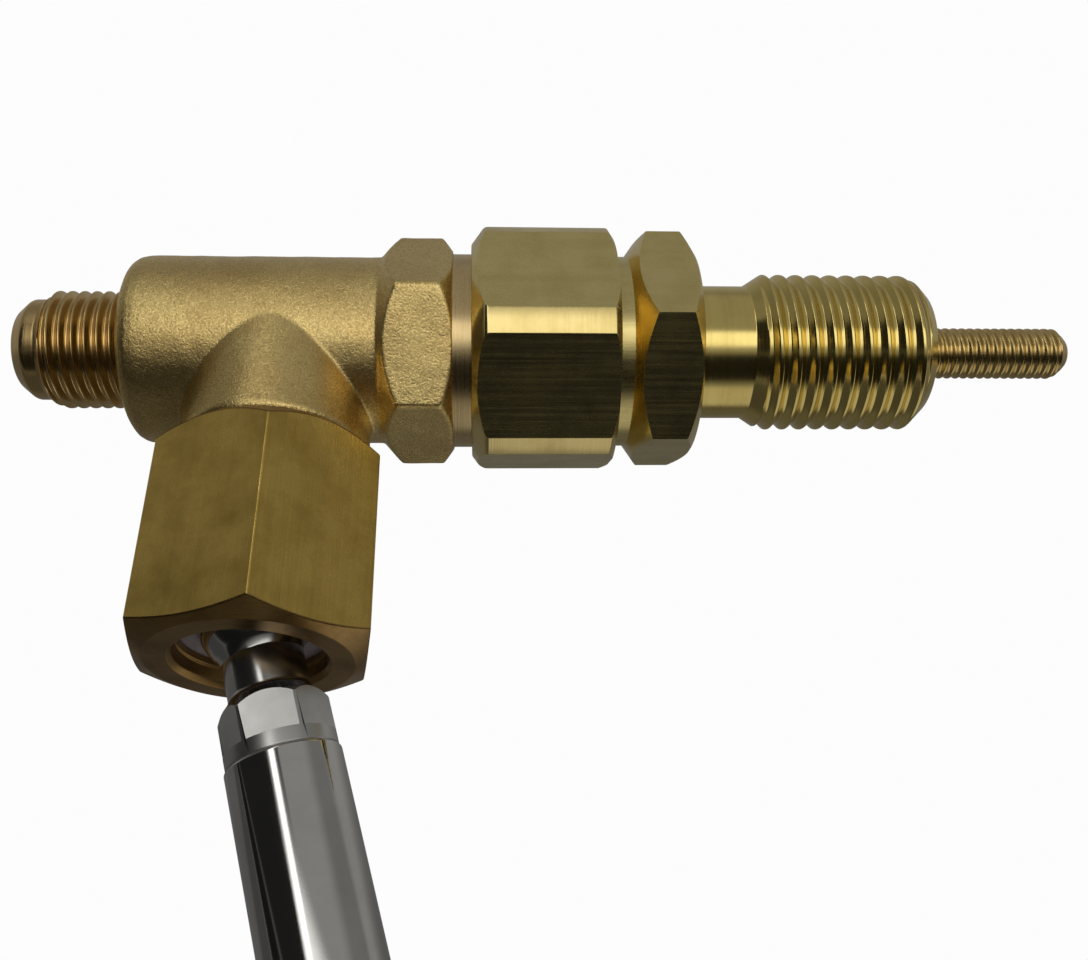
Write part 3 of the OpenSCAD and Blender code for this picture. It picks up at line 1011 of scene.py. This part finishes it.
# %% The tent's wall
def tent_sphere(radius=0.45):
    """A sphere that mirrors and metals see and the camera doesn't."""
    bm = bmesh.new()
    bmesh.ops.create_icosphere(bm, subdivisions=5, radius=radius)
    mesh = bpy.data.meshes.new("light_tent")
    bm.to_mesh(mesh)
    bm.free()
    obj = bpy.data.objects.new("light_tent", mesh)
    bpy.context.scene.collection.objects.link(obj)
    obj.visible_camera = False
    obj.visible_shadow = False
    return obj


def window(tree, value, low, high, edge):
    """1 between low and high, fading over edge on both sides."""
    rise = span(tree, value, low - edge, low + edge, smooth=True)
    fall = span(tree, value, high - edge, high + edge, 1, 0, smooth=True)
    return maths(tree, "MULTIPLY", rise, fall)


def toward(tree, level, goal, share):
    """Moves level to goal by share."""
    kept = maths(tree, "MULTIPLY", level, maths(tree, "SUBTRACT", 1.0, share))
    return maths(tree, "ADD", kept, maths(tree, "MULTIPLY", share, goal))


def both(tree, one, two):
    """1 only where both are 1."""
    return maths(tree, "MULTIPLY", one, two)


# %% [markdown]
# ## Directions on the tent's wall
# Each point of the wall gets two angles. Pitch is 0 in front, 90 straight
# down and -90 straight up. Bearing is 0 in front and grows to the spindle's
# side. Panels are then windows in pitch and bearing, in degrees.

# %% Two angles for each point of the wall
tent = tent_sphere()
glow = bpy.data.materials.new("tent glow")
glow.use_nodes = True
tree = glow.node_tree
tree.nodes.clear()
where = tree.nodes.new("ShaderNodeTexCoord").outputs["Object"]
parts = put(tree, "ShaderNodeSeparateXYZ", None, Vector=where).outputs
DEGREES = 180 / math.pi
front = maths(tree, "MULTIPLY", parts[1], -1.0)
down = maths(tree, "MULTIPLY", parts[2], -1.0)
pitch = maths(tree, "MULTIPLY", maths(tree, "ARCTAN2", down, front), DEGREES)
bearing = maths(tree, "MULTIPLY", maths(tree, "ARCTAN2", parts[0], front), DEGREES)

# %% [markdown]
# ## Walls, panels and gaps
# We start from a dim wall and lay panels over it, one after another, each with
# its own brightness. The front panel lights the faces that look forward and a
# little down. A narrow strip with a dark gap beside it draws the pipe's long
# highlight. A nearly black wall on the inlet's side and another low in front
# give the steel and the nuts' flats their dark areas.

# %% Dim walls
level = span(tree, pitch, -170, -130, 0.13, 0.3, smooth=True)
sideways = span(tree, maths(tree, "ABSOLUTE", bearing), 30, 56, smooth=True)
high_sides = both(tree, sideways, window(tree, pitch, -90, 0, 20))
level = toward(tree, level, 0.19, high_sides)
level = toward(tree, level, 0.07, span(tree, pitch, 86, 98, smooth=True))
beyond_inlet = span(tree, parts[0], -0.08, -0.03, smooth=True)
back_low = both(tree, window(tree, pitch, 97, 143, 7), beyond_inlet)
level = toward(tree, level, 0.5, back_low)
level = toward(tree, level, 0.12, span(tree, pitch, 146, 160, smooth=True))

# %% Bright panels and dark gaps
front_panel = both(tree, window(tree, pitch, 3, 28, 5), window(tree, bearing, -34, 40, 14))
level = toward(tree, level, 1.35, front_panel)
strip = both(tree, window(tree, pitch, -38, 12, 4), window(tree, bearing, -29, -20, 1.5))
gap = both(tree, window(tree, pitch, -38, -4, 4), window(tree, bearing, -18, -13, 1.5))
level = toward(tree, level, 1.9, strip)
level = toward(tree, level, 0.06, gap)
left_wall = both(tree, window(tree, pitch, -26, 40, 5), window(tree, bearing, -92, -32, 2))
level = toward(tree, level, 0.015, left_wall)
level = toward(tree, level, 0.01, window(tree, pitch, 40, 90, 6))

# %% Make the wall glow
emission = put(tree, "ShaderNodeEmission", None, Strength=level)
WARM_WHITE = (1.0, 0.985, 0.95, 1)
emission.inputs["Color"].default_value = WARM_WHITE
output = tree.nodes.new("ShaderNodeOutputMaterial")
tree.links.new(emission.outputs[0], output.inputs[0])
paint(tent, glow)
print(f"the tent's glow takes {len(tree.nodes)} nodes")

# %% [markdown]
# ## The room
# Behind the tent there is only an even, nearly white world and a pale floor
# well below the pipe, so nothing distracts from the valve. The floor and the
# tent are stage pieces: they belong to the picture and not to the valve.

# %% Pale room
ROOM_WHITE = (0.98, 0.98, 0.98, 1)
world = bpy.data.worlds.new("pale room")
world.use_nodes = True
background = world.node_tree.nodes["Background"]
background.inputs["Color"].default_value = ROOM_WHITE
background.inputs["Strength"].default_value = 1.0
bpy.context.scene.world = world
bpy.context.scene.view_settings.view_transform = "Standard"

# %% Pale floor
FLOOR_Z, FLOOR_HALF = -0.62, 4
bm = bmesh.new()
bmesh.ops.create_grid(bm, x_segments=8, y_segments=8, size=FLOOR_HALF)
floor = settle("floor", bm, Matrix.Translation((0, 0, FLOOR_Z)), smooth=False)
floor_paint, tree, shader, where = new_finish("floor paint", metallic=0.0)
tone = noise(tree, where, 30, detail=2, roughness=0.5)
colour = blend_colour(tree, tone, (0.84, 0.84, 0.84), (0.86, 0.86, 0.86))
tree.links.new(colour, shader.inputs["Base Color"])
shader.inputs["Roughness"].default_value = 0.9
paint(floor, floor_paint)
